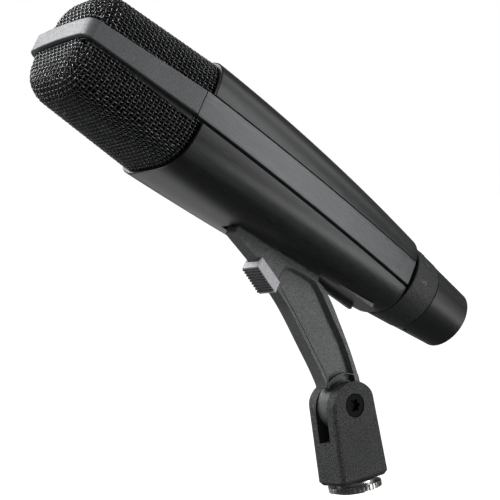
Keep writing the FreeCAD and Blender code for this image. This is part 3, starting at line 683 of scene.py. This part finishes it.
def foam_shell():
    """The foam behind the mesh."""
    near = MESH_INSET + FOAM_INSET
    reach = MESH_SIDE_RADIUS - FOAM_INSET
    stations = [near + reach * (1 - math.cos(math.radians(9 * step))) for step in range(11)]
    stations += list(np.linspace(FOAM_SIDE_FRONT, FOAM_REAR, 20))
    power = 2 / MESH_SQUARENESS
    rings = []
    for s in stations:
        width, top, bottom = head_sizes(s + 1e-4, FOAM_INSET, UPPER_PLAN_RADIUS)
        ring = []
        for angle in np.linspace(0, 2 * np.pi, 96, endpoint=False):
            c, d = math.cos(angle), math.sin(angle)
            y = width * math.copysign(abs(c) ** power, c)
            z = (top if d > 0 else bottom) * math.copysign(abs(d) ** power, d)
            ring.append((s, y, z))
        rings.append(ring)
    vertices, faces = closed_sweep(rings)
    foam = new_object("foam_lining", vertices, faces, MIC)
    outward(foam)
    all_smooth(foam)
    return foam


# ---------------------------------------------------------------- tail

def ring_radius(station):
    """The tapered ring's radius at a station."""
    slope = (RING_REAR_RADIUS - RING_FRONT_RADIUS) / (RING_REAR - RING_FRONT)
    return RING_FRONT_RADIUS + slope * (station - RING_FRONT)


def roll_off_ring():
    """The tapered ring, with rounded edges."""
    turns = np.linspace(0.2, math.pi / 2, 6)
    front_edge = RING_FRONT_RADIUS - RING_FRONT_BEVEL
    rear_edge = RING_REAR_RADIUS - RING_REAR_BEVEL
    rear_start = RING_REAR - RING_REAR_BEVEL
    profile = [(RING_FRONT, RING_BORE), (RING_FRONT, front_edge)]
    profile += [(RING_FRONT + RING_FRONT_BEVEL * (1 - math.cos(turn)),
                 front_edge + RING_FRONT_RISE * math.sin(turn)) for turn in turns]
    profile += [(s, ring_radius(s)) for s in np.linspace(RING_CONE_FRONT, RING_CONE_REAR, 12)]
    profile += [(rear_start + RING_REAR_BEVEL * math.sin(turn),
                 rear_edge + RING_REAR_BEVEL * math.cos(turn)) for turn in turns]
    profile += [(RING_REAR, RING_BORE)]
    ring = turned_piece("bass_ring", profile, 160)
    smooth(ring, 40)
    return ring


def numeral(text):
    """One raised numeral as (points, faces) lying in the XY plane, centred on the origin."""
    curve = bpy.data.curves.new("numeral", "FONT")
    curve.body = text
    curve.size = NUMERAL_SIZE
    curve.extrude = NUMERAL_THICKNESS / 2
    curve.align_x = "CENTER"
    curve.align_y = "CENTER"
    curve.resolution_u = 4
    holder = bpy.data.objects.new("numeral", curve)
    bpy.context.scene.collection.objects.link(holder)
    bpy.context.view_layer.update()
    mesh = bpy.data.meshes.new_from_object(holder.evaluated_get(bpy.context.evaluated_depsgraph_get()))
    points = np.array([v.co for v in mesh.vertices])
    faces = [tuple(p.vertices) for p in mesh.polygons]
    bpy.data.objects.remove(holder)
    bpy.data.curves.remove(curve)
    bpy.data.meshes.remove(mesh)
    return points, faces


def ring_numerals():
    """The bass positions' numbers round the ring, raised a little from it."""
    vertices, faces, count = [], [], 0
    for step in range(NUMERAL_COUNT):
        points, own = numeral(str(step + 1))
        facing = math.radians(NUMERAL_START + NUMERAL_STEP * step)
        station = NUMERAL_STATION - points[:, 1]
        angle = facing - points[:, 0] / RING_FRONT_RADIUS
        radius = ring_radius(station) + NUMERAL_LIFT + points[:, 2]
        vertices.append(np.stack([station, radius * np.cos(angle), radius * np.sin(angle)], axis=1))
        faces += [tuple(count + v for v in face) for face in own]
        count += len(points)
    marks = new_object("ring_numerals", np.concatenate(vertices), faces, MIC)
    outward(marks)
    smooth(marks, 30)
    return marks


# ---------------------------------------------------------------- materials

class Finish:
    """A procedural material being put together."""

    def __init__(self, name, **sockets):
        self.material = bpy.data.materials.new(name)
        self.material.use_nodes = True
        self.tree = self.material.node_tree
        self.shader = self.tree.nodes["Principled BSDF"]
        for socket, value in sockets.items():
            self.shader.inputs[socket.replace("_", " ")].default_value = value

    def node(self, kind, **settings):
        made = self.tree.nodes.new("ShaderNode" + kind)
        for name, value in settings.items():
            setattr(made, name, value)
        return made

    def link(self, start, end):
        self.tree.links.new(start, end)

    def place(self, stretch=(1, 1, 1), tilt=0.0):
        """The piece's coordinates in a frame tilted about Y, which stretches a pattern along its axes."""
        source = self.node("TexCoord")
        mapping = self.node("Mapping", vector_type="TEXTURE")
        mapping.inputs["Rotation"].default_value = (0, tilt, 0)
        mapping.inputs["Scale"].default_value = stretch
        self.link(source.outputs["Object"], mapping.inputs["Vector"])
        return mapping.outputs["Vector"]

    def noise(self, where, per_metre, detail=3.0, roughness=0.55):
        made = self.node("TexNoise")
        made.inputs["Scale"].default_value = per_metre
        made.inputs["Detail"].default_value = detail
        made.inputs["Roughness"].default_value = roughness
        self.link(where, made.inputs["Vector"])
        return made.outputs["Fac"]

    def cells(self, where, per_metre):
        made = self.node("TexVoronoi", feature="F1")
        made.inputs["Scale"].default_value = per_metre
        self.link(where, made.inputs["Vector"])
        return made.outputs["Distance"]

    def spread(self, value, low, high, to_low, to_high):
        """A value's range from low to high, spread over another range."""
        made = self.node("MapRange")
        limits = {"From Min": low, "From Max": high, "To Min": to_low, "To Max": to_high}
        for socket, number in limits.items():
            made.inputs[socket].default_value = number
        self.link(value, made.inputs["Value"])
        return made.outputs["Result"]

    def maths(self, operation, first, second):
        made = self.node("Math", operation=operation)
        for socket, value in zip(made.inputs, (first, second)):
            if isinstance(value, (int, float)):
                socket.default_value = value
            else:
                self.link(value, socket)
        return made.outputs["Value"]

    def tint(self, share, first, second):
        """A mix of two plain colours by a share."""
        made = self.node("Mix", data_type="RGBA")
        self.link(share, made.inputs["Factor"])
        for socket, colour in (("A", first), ("B", second)):
            target = next(i for i in made.inputs if i.name == socket and i.type == "RGBA")
            target.default_value = (*colour, 1)
        return next(o for o in made.outputs if o.type == "RGBA")

    def colour(self, socket):
        self.link(socket, self.shader.inputs["Base Color"])

    def gloss(self, socket):
        self.link(socket, self.shader.inputs["Roughness"])

    def bump(self, height, depth_mm):
        made = self.node("Bump")
        made.inputs["Strength"].default_value = 1.0
        made.inputs["Distance"].default_value = depth_mm * MM
        self.link(height, made.inputs["Height"])
        self.link(made.outputs["Normal"], self.shader.inputs["Normal"])


def brushed(name, dark, light, rough, metallic, depth_mm):
    """Metal or coat brushed along X, with fine streaks and broad soft bands."""
    made = Finish(name, Metallic=metallic)
    streaks = made.noise(made.place((14, 1, 1), MIC_TILT), 1900, 4, 0.75)
    bands = made.noise(made.place((12, 1, 1), MIC_TILT), 160, 2, 0.5)
    share = made.maths("MULTIPLY", made.spread(streaks, 0.3, 0.75, 0.0, 1.0),
                       made.spread(bands, 0.2, 0.8, 0.45, 1.0))
    made.colour(made.tint(share, dark, light))
    made.gloss(made.spread(streaks, 0.25, 0.75, rough[0], rough[1]))
    made.bump(streaks, depth_mm)
    return made.material


def grained(name, dark, light, rough, size_mm, depth_mm, **sockets):
    """Moulded or painted surface with a sandy grain."""
    made = Finish(name, **sockets)
    where = made.place()
    grain = made.noise(where, 1000 / size_mm, 2, 0.6)
    cells = made.cells(where, 800 / size_mm)
    cloud = made.noise(where, 60, 3)
    height = made.maths("ADD", made.spread(grain, 0.3, 0.7, 0, 0.6),
                        made.spread(cells, 0.0, 0.8, 0.4, 0.0))
    share = made.maths("MULTIPLY", made.spread(grain, 0.35, 0.7, 0.0, 1.0),
                       made.spread(cloud, 0.3, 0.7, 0.6, 1.0))
    made.colour(made.tint(share, dark, light))
    made.gloss(made.spread(grain, 0.3, 0.7, rough[1], rough[0]))
    made.bump(height, depth_mm)
    return made.material


def turned_metal(name, dark, light, rough, tilt=MIC_TILT):
    """Machined metal with fine rings across the axis."""
    made = Finish(name, Metallic=1.0)
    rings = made.noise(made.place((1, 30, 30), tilt), 2600, 2, 0.6)
    cloud = made.noise(made.place(), 90, 3)
    made.colour(made.tint(made.spread(cloud, 0.3, 0.7, 0, 1), dark, light))
    made.gloss(made.spread(rings, 0.3, 0.7, rough[0], rough[1]))
    made.bump(rings, 0.012)
    return made.material


def enamelled_wire():
    made = Finish("enamelled_wire", Specular_IOR_Level=1.0)
    where = made.place()
    cloud = made.noise(where, 350, 3)
    share = made.spread(cloud, 0.35, 0.7, 0, 1)
    made.colour(made.tint(share, (0.02, 0.021, 0.022), (0.075, 0.077, 0.08)))
    made.gloss(made.spread(made.noise(where, 1400, 2), 0.3, 0.7, 0.17, 0.26))
    made.bump(made.noise(where, 5200, 2), 0.02)
    return made.material


def open_foam():
    made = Finish("open_foam", Specular_IOR_Level=0.2)
    where = made.place()
    cells = made.cells(where, 1500)
    share = made.spread(cells, 0.1, 0.6, 0, 1)
    made.colour(made.tint(share, (0.002, 0.002, 0.002), (0.012, 0.012, 0.012)))
    made.gloss(made.spread(cells, 0.0, 0.7, 0.8, 1.0))
    made.bump(cells, 0.3)
    return made.material


def wound_copper():
    made = Finish("wound_copper", Metallic=0.85)
    turns = made.node("TexWave", wave_type="BANDS", bands_direction="Z")
    turns.inputs["Scale"].default_value = 900
    made.link(made.place(tilt=MIC_TILT), turns.inputs["Vector"])
    made.colour(made.tint(turns.outputs["Fac"], (0.28, 0.09, 0.03), (0.68, 0.3, 0.13)))
    made.gloss(made.spread(made.noise(made.place(), 700), 0.3, 0.7, 0.25, 0.4))
    made.bump(turns.outputs["Fac"], 0.05)
    return made.material


def clear_film():
    made = Finish("clear_film", Transmission_Weight=0.6, IOR=1.5)
    cloud = made.noise(made.place(), 300, 3)
    made.colour(made.tint(cloud, (0.75, 0.7, 0.58), (0.9, 0.87, 0.78)))
    made.gloss(made.spread(cloud, 0.3, 0.7, 0.08, 0.2))
    return made.material


def circuit_board():
    made = Finish("circuit_board")
    where = made.place(tilt=MIC_TILT)
    tracks = made.node("TexBrick")
    sizes = {"Scale": 260, "Mortar Size": 0.03, "Brick Width": 0.9, "Row Height": 0.35}
    for socket, value in sizes.items():
        tracks.inputs[socket].default_value = value
    made.link(where, tracks.inputs["Vector"])
    made.colour(made.tint(tracks.outputs["Fac"], (0.015, 0.1, 0.035), (0.06, 0.22, 0.09)))
    made.gloss(made.spread(made.noise(where, 900), 0.3, 0.7, 0.25, 0.4))
    made.bump(tracks.outputs["Fac"], 0.03)
    return made.material


def stage_paper():
    """The plain pale sweep that the object stands before."""
    made = Finish("stage_paper", Specular_IOR_Level=0.1, Emission_Strength=1.0)
    made.shader.inputs["Emission Color"].default_value = (1, 1, 1, 1)
    cloud = made.noise(made.place(), 3, 3)
    made.colour(made.tint(cloud, (0.9, 0.9, 0.9), (0.93, 0.93, 0.93)))
    made.gloss(made.spread(cloud, 0.3, 0.7, 0.85, 0.95))
    return made.material


BRUSHED = {  # dark and light colour, roughness from and to, metallic, relief in millimetres
    "case_coat": ((0.012, 0.0125, 0.013), (0.05, 0.052, 0.054), (0.26, 0.42), 0.35, 0.02),
    "rail_finish": ((0.05, 0.053, 0.055), (0.17, 0.175, 0.178), (0.3, 0.48), 0.5, 0.02),
}
GRAINED = {  # dark and light colour, roughness from and to, grain and relief in millimetres
    "bridge_coat": ((0.13, 0.133, 0.138), (0.24, 0.243, 0.25), (0.42, 0.6), 0.45, 0.03),
    # frame_black also colours the flanges at the back of the case's grooves, where it is painted shade.
    "frame_black": ((0.008, 0.008, 0.009), (0.02, 0.021, 0.022), (0.4, 0.55), 0.6, 0.02),
    "felt": ((0.16, 0.155, 0.15), (0.32, 0.31, 0.3), (0.85, 1.0), 0.35, 0.2),
    "rubber": ((0.015, 0.015, 0.015), (0.035, 0.035, 0.035), (0.6, 0.8), 0.5, 0.03),
    "inner_plastic": ((0.03, 0.03, 0.031), (0.07, 0.07, 0.072), (0.4, 0.55), 0.5, 0.02),
    "lead_insulation": ((0.3, 0.02, 0.02), (0.5, 0.06, 0.04), (0.3, 0.45), 0.6, 0.01),
    "barrel_coat": ((0.006, 0.0065, 0.007), (0.016, 0.017, 0.018), (0.34, 0.42), 0.3, 0.003),
    "insert_plastic": ((0.01, 0.01, 0.01), (0.03, 0.03, 0.03), (0.25, 0.4), 0.8, 0.01),
    "black_screw": ((0.002, 0.002, 0.002), (0.008, 0.008, 0.008), (0.55, 0.7), 0.5, 0.015),
    "ring_plastic": ((0.012, 0.0125, 0.013), (0.04, 0.042, 0.043), (0.5, 0.68), 0.75, 0.09),
    "mark_paint": ((0.1, 0.103, 0.103), (0.18, 0.184, 0.184), (0.4, 0.55), 0.6, 0.03),
    "arm_plastic": ((0.06, 0.063, 0.064), (0.18, 0.185, 0.185), (0.42, 0.6), 0.45, 0.07),
    "button_plastic": ((0.55, 0.535, 0.565), (0.76, 0.74, 0.78), (0.35, 0.48), 1.0, 0.02),
    "base_plastic": ((0.003, 0.0033, 0.0033), (0.09, 0.093, 0.093), (0.42, 0.72), 0.55, 0.3),
}
GRAINED_SOCKETS = {
    "bridge_coat": {"Metallic": 0.3},
    "barrel_coat": {"Specular_IOR_Level": 0.4},
    "black_screw": {"Specular_IOR_Level": 0.08},
}
TURNED = {  # dark and light colour, roughness from and to, and the tilt if it isn't the microphone's
    "capsule_metal": ((0.5, 0.5, 0.51), (0.62, 0.62, 0.63), (0.22, 0.4)),
    "magnet_steel": ((0.36, 0.36, 0.37), (0.48, 0.48, 0.49), (0.25, 0.42)),
    "turned_brass": ((0.5, 0.36, 0.14), (0.66, 0.5, 0.24), (0.2, 0.35)),
    "contact_metal": ((0.66, 0.63, 0.55), (0.8, 0.78, 0.72), (0.15, 0.28)),
    "spring_steel": ((0.38, 0.38, 0.39), (0.52, 0.52, 0.53), (0.2, 0.35)),
    "bolt_steel": ((0.12, 0.12, 0.12), (0.22, 0.22, 0.22), (0.3, 0.42)),
    "thread_metal": ((0.2, 0.19, 0.18), (0.34, 0.33, 0.31), (0.16, 0.28), 0.0),
}


def make_finishes():
    """Each material slot's finish."""
    made = {slot: brushed(slot, *values) for slot, values in BRUSHED.items()}
    for slot, values in GRAINED.items():
        made[slot] = grained(slot, *values, **GRAINED_SOCKETS.get(slot, {}))
    for slot, values in TURNED.items():
        made[slot] = turned_metal(slot, *values)
    made["mesh_wire"] = enamelled_wire()
    made["foam"] = open_foam()
    made["film"] = clear_film()
    made["copper_winding"] = wound_copper()
    made["board"] = circuit_board()
    return made


# ---------------------------------------------------------------- the object

def dress_case(looks):
    upper = housing_shell("upper_shell", STRIP_HALF_HEIGHT + UPPER_GROOVE, 1)
    soften(upper, 0.3, 40)
    finish_piece(upper, "microphone", "case_coat", looks, "upper_housing_shell")
    lower = lower_shell()
    soften(lower, 0.3, 40)
    finish_piece(lower, "microphone", "case_coat", looks, "lower_housing_shell")
    strip_stations = np.linspace(STRIP_FRONT, STRIP_REAR, 60)
    flange_stations = np.linspace(FLANGE_FRONT, FLANGE_REAR, 40)
    for side, word in ((1, "left"), (-1, "right")):
        strip = side_strip(word + "_side_strip", side, (-STRIP_PROUD, STRIP_DEPTH), strip_stations,
                           -STRIP_HALF_HEIGHT, STRIP_HALF_HEIGHT)
        soften(strip, 0.4, 40)
        finish_piece(strip, "microphone", "rail_finish", looks, "chassis_frame")
        flange = side_strip(word + "_flange", side, FLANGE_INSETS, flange_stations,
                            FLANGE_BOTTOM, FLANGE_TOP)
        smooth(flange)
        finish_piece(flange, "microphone", "rail_finish", looks)
        # The flange at the back of the grooves is part of the rail frame, but it is coloured near black: painted
        # shade that darkens the grooves.
        flange.data.materials[0] = looks["frame_black"]


def dress_head(looks):
    bridge = strap_piece("head_strap", 0.0, BRIDGE_THICKNESS, BRIDGE_REAR,
                         lambda s: -bridge_height(s), bridge_height)
    soften(bridge, 0.45, 40)
    finish_piece(bridge, "microphone", "bridge_coat", looks, "grille_bridge")
    band = strap_piece("crimp_band", BRIDGE_THICKNESS + BAND_GAP, BAND_THICKNESS, BAND_REAR,
                       lambda s: -band_depth(s), lambda s: BAND_ABOVE)
    soften(band, 0.3, 40)
    finish_piece(band, "microphone", "frame_black", looks, "basket_frame")
    for name, side, reach in (("upper", 1, BAND_ABOVE), ("lower", -1, BAND_DEPTH_FRONT)):
        basket = mesh_basket(name + "_woven_basket", side, reach - BASKET_TUCK)
        finish_piece(basket, "microphone", "mesh_wire", looks, name + "_mesh_basket")
    foam = foam_shell()
    finish_piece(foam, "microphone", "foam", looks, "foam_liner")


def dress_tail(looks):
    finish_piece(roll_off_ring(), "rolloff", "ring_plastic", looks, "rolloff_ring")
    finish_piece(ring_numerals(), "rolloff", "mark_paint", looks)
    refined("connector_barrel", "microphone", "barrel_coat", looks, 0.25)


def rounded_path(corners):
    """An even path through corners, with the corners cut round."""
    path = np.asarray(corners, float)
    for _ in range(3):
        near, far = path[:-1] * 0.75 + path[1:] * 0.25, path[:-1] * 0.25 + path[1:] * 0.75
        middle = np.stack([near, far], axis=1).reshape(-1, 3)
        path = np.concatenate([path[:1], middle, path[-1:]])
    return even_points(path, 160)


def arm_beads():
    """A fine raised bead on each side of the arm, round the front of its recess."""
    beads = []
    for side in (-1, 1):
        path = rounded_path([(x, side * (ARM_HALF - BEAD_SINK), PIVOT_HEIGHT + z) for x, z in RIM_POINTS])
        beads.append((path, np.tile((0.0, side, 0.0), (len(path), 1))))
    return wire_mesh("arm_beads", beads, BEAD_RADIUS, 10, SCENE_FRAME)


def dress_clip(looks):
    finish_piece(arm_beads(), "clip", "arm_plastic", looks)
    refined("clip_arm", "clip", "arm_plastic", looks, 0.3, 30)
    refined("swivel_base", "stand_base", "base_plastic", looks, 0.5, 40)
    button = refined("latch_button", "latch", "button_plastic", looks, 0.25, 40)
    button.data.materials.append(looks["inner_plastic"])
    to_latch = latch_frame().inverted()
    for face in button.data.polygons:
        if (to_latch @ face.center).z < -RIB_FOOT * MM:
            face.material_index = 1
    refined("thread_insert", "stand_base", "thread_metal", looks, 0.12, 50)
    refined("pivot_screw", "stand_base", "black_screw", looks, 0.15)
    refined("pivot_nut", "stand_base", "spring_steel", looks, 0.2)


def dress_the_rest(looks):
    """Every CAD node that still shows gets its slot's finish."""
    slots = {part["node"]: part["material_slot"] for part in frame["record"]["subparts"]}
    for name, node in frame["nodes"].items():
        if not node.hide_render:
            for place in node.material_slots:
                place.material = looks[slots[name]]


# ---------------------------------------------------------------- studio, in metres and watts

FLOOR_HEIGHT = -0.3
FLOOR_HALF = 12.0
LIT_POINT = (-0.01, 0.0, 0.12)
LAMPS = (  # name, direction from the lit point, distance, size, power
    ("strip_right", (0.68, -0.73, 0.04), 1.3, (0.3, 0.8), 5),
    ("top_behind", (-0.3, 0.7, 0.64), 1.2, (0.7, 0.6), 9),
    ("front_left", (-0.62, 0.12, 0.77), 1.2, (0.1, 0.5), 12),
    ("shoulder_right", (0.88, -0.3, 0.35), 1.3, (0.4, 0.5), 1.6),
    ("low_behind", (0.12, 0.87, -0.48), 0.5, (0.4, 0.2), 0.2),
    ("rim_left", (-0.62, 0.75, -0.12), 1.2, (0.1, 0.4), 1.2),
    ("fill_low", (-0.15, -0.7, -0.7), 1.2, (0.9, 0.7), 1.2),
    ("low_right", (0.48, -0.74, -0.48), 0.5, (0.3, 0.12), 0.6),
)
AMBIENT_COLOUR, AMBIENT_STRENGTH = (0.96, 0.98, 1, 1), 0.13
VIEW_PLACE = (-0.39928, -0.47833, 0.12263)
VIEW_RIGHT = (0.78012, -0.60374, -0.16402)
VIEW_UP = (0.14918, -0.07510, 0.98595)
LENS, SENSOR = 111.4, 36.0  # millimetres


def build_stage():
    floor = bpy.data.meshes.new("studio_floor")
    corners = [(x * FLOOR_HALF, y * FLOOR_HALF, 0) for x, y in ((-1, -1), (1, -1), (1, 1), (-1, 1))]
    floor.from_pydata(corners, [], [(0, 1, 2, 3)])
    thing = bpy.data.objects.new("studio_floor", floor)
    thing.location.z = FLOOR_HEIGHT
    thing.visible_diffuse = False
    thing.visible_glossy = False
    bpy.context.scene.collection.objects.link(thing)
    floor.materials.append(stage_paper())


def softbox(name, direction, distance, size, power):
    """A rectangular lamp at a distance from the lit point, facing it."""
    data = bpy.data.lights.new(name, "AREA")
    data.shape = "RECTANGLE"
    data.size, data.size_y = size
    data.energy = power
    lamp = bpy.data.objects.new(name, data)
    away = Vector(direction).normalized()
    lamp.location = Vector(LIT_POINT) + away * distance
    lamp.rotation_euler = (-away).to_track_quat("-Z", "Y").to_euler()
    lamp.visible_camera = False
    bpy.context.scene.collection.objects.link(lamp)


def build_world():
    """A white backdrop for the camera, and a dim even light for the object."""
    world = bpy.data.worlds.new("studio")
    bpy.context.scene.world = world
    world.use_nodes = True
    tree = world.node_tree
    tree.nodes.clear()
    rays = tree.nodes.new("ShaderNodeLightPath")
    seen = tree.nodes.new("ShaderNodeBackground")
    lit = tree.nodes.new("ShaderNodeBackground")
    mix = tree.nodes.new("ShaderNodeMixShader")
    output = tree.nodes.new("ShaderNodeOutputWorld")
    seen.inputs["Color"].default_value = (1, 1, 1, 1)
    seen.inputs["Strength"].default_value = 1.0
    lit.inputs["Color"].default_value = AMBIENT_COLOUR
    lit.inputs["Strength"].default_value = AMBIENT_STRENGTH
    tree.links.new(rays.outputs["Is Camera Ray"], mix.inputs["Fac"])
    tree.links.new(lit.outputs["Background"], mix.inputs[1])
    tree.links.new(seen.outputs["Background"], mix.inputs[2])
    tree.links.new(mix.outputs["Shader"], output.inputs["Surface"])


def build_camera():
    """A long lens at the front and right of the microphone, rolled a little."""
    right, up = Vector(VIEW_RIGHT), Vector(VIEW_UP)
    data = bpy.data.cameras.new("view")
    data.lens = LENS
    data.sensor_width = SENSOR
    data.clip_start = 0.01
    view = bpy.data.objects.new("view", data)
    turn = Matrix((right, up, right.cross(up))).transposed().to_4x4()
    view.matrix_world = Matrix.Translation(VIEW_PLACE) @ turn
    bpy.context.scene.collection.objects.link(view)
    bpy.context.scene.camera = view
    bpy.context.scene.view_settings.view_transform = "Standard"


finishes = make_finishes()
build_camera()
dress_case(finishes)
dress_head(finishes)
dress_tail(finishes)
dress_clip(finishes)
dress_the_rest(finishes)
build_stage()
for lamp in LAMPS:
    softbox(*lamp)
build_world()
